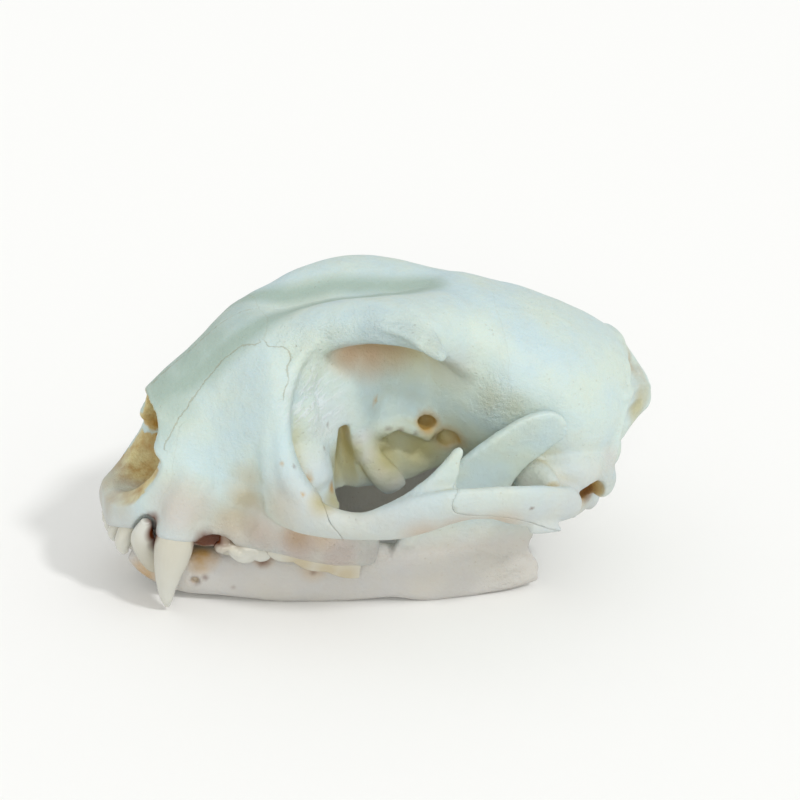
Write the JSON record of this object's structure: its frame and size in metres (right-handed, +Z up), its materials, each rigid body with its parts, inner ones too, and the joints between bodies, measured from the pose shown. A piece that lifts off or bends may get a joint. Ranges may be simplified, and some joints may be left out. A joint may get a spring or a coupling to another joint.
{
  "type": "caracal skull",
  "caption": "Life-size caracal skull with closed lower jaw: domed braincase, big ring-like eye sockets, flared cheek arches, long canines; rests on its jaw.",
  "frame": {"origin": "on the floor under the middle of the skull's bounding box", "axes": "+X towards the back of the head, the nose points to -X; -Y is the animal's left side; +Z up"},
  "size_m": [0.1214, 0.0838, 0.0649],
  "materials": {
    "skull_bone": "dry bleached bone, satin",
    "jaw_bone": "dry bleached bone, satin"
  },
  "bodies": {
    "root": {"cranium": "skull_bone", "zygomatic_left": "skull_bone", "zygomatic_right": "skull_bone", "mandible_left": "jaw_bone", "mandible_right": "jaw_bone"}
  },
  "joints": []
}
